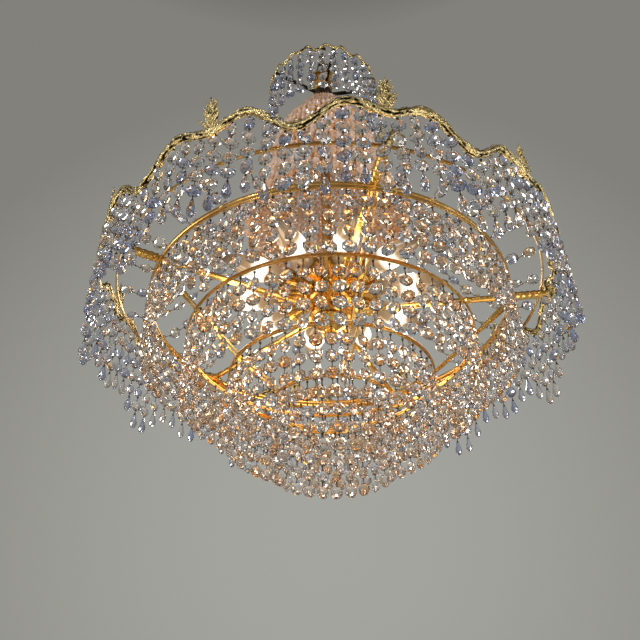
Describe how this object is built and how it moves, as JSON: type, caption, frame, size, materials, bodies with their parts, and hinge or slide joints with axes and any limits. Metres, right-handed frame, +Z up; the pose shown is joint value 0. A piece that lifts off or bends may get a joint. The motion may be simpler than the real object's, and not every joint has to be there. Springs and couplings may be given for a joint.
{
  "type": "crystal chandelier",
  "caption": "Basket chandelier with tiers of octagon crystal chains, a wavy gilt rim with leaves, a bell of close bead chains and lit candle bulbs",
  "frame": {"origin": "the middle of the hanging eye's bore", "axes": "+Z is up along the stem, +X is along the eye's bore and the pivot pin, -Y is the direction of the first arm"},
  "size_m": [0.658, 0.658, 0.9118],
  "materials": {
    "gilt_brass": "satin",
    "dark_metal": "satin",
    "crystal": "gloss",
    "bead_glass": "gloss",
    "bulb_glass": "gloss"
  },
  "bodies": {
    "hanger": {"hanging_eye": "dark_metal"},
    "chandelier": {"arm_1": "gilt_brass", "arm_2": "gilt_brass", "arm_3": "gilt_brass", "arm_4": "gilt_brass", "arm_5": "gilt_brass", "arm_brackets": "gilt_brass", "bell_cap": "gilt_brass", "bell_chains": "bead_glass", "bulb_1": "bulb_glass", "bulb_10": "bulb_glass", "bulb_2": "bulb_glass", "bulb_3": "bulb_glass", "bulb_4": "bulb_glass", "bulb_5": "bulb_glass", "bulb_6": "bulb_glass", "bulb_7": "bulb_glass", "bulb_8": "bulb_glass", "bulb_9": "bulb_glass", "bulb_cups": "gilt_brass", "chains_b": "crystal", "chains_c": "crystal", "chains_d": "crystal", "chains_e": "crystal", "clevis": "dark_metal", "crown_chains": "crystal", "crown_hub": "gilt_brass", "crown_rim": "gilt_brass", "crown_spokes": "gilt_brass", "hub_body": "gilt_brass", "hub_cover": "gilt_brass", "hub_finial": "gilt_brass", "lower_stem": "gilt_brass", "main_rim": "gilt_brass", "pivot_pin": "dark_metal", "rim_chains": "crystal", "rim_leaves": "gilt_brass", "ring_a": "gilt_brass", "ring_b": "gilt_brass", "ring_c": "gilt_brass", "ring_d": "gilt_brass", "ring_e": "gilt_brass", "stem_struts": "dark_metal", "straps_b_c": "gilt_brass", "straps_c_d": "gilt_brass", "straps_d_e": "gilt_brass", "swags": "crystal", "top_cap": "gilt_brass", "upper_stem": "dark_metal"}
  },
  "joints": [
    {"name": "chandelier_swing", "type": "hinge", "parent": "hanger", "child": "chandelier", "pos_m": [0, 0, -0.04], "axis": [1, 0, 0], "range_deg": [-20, 20]}
  ]
}
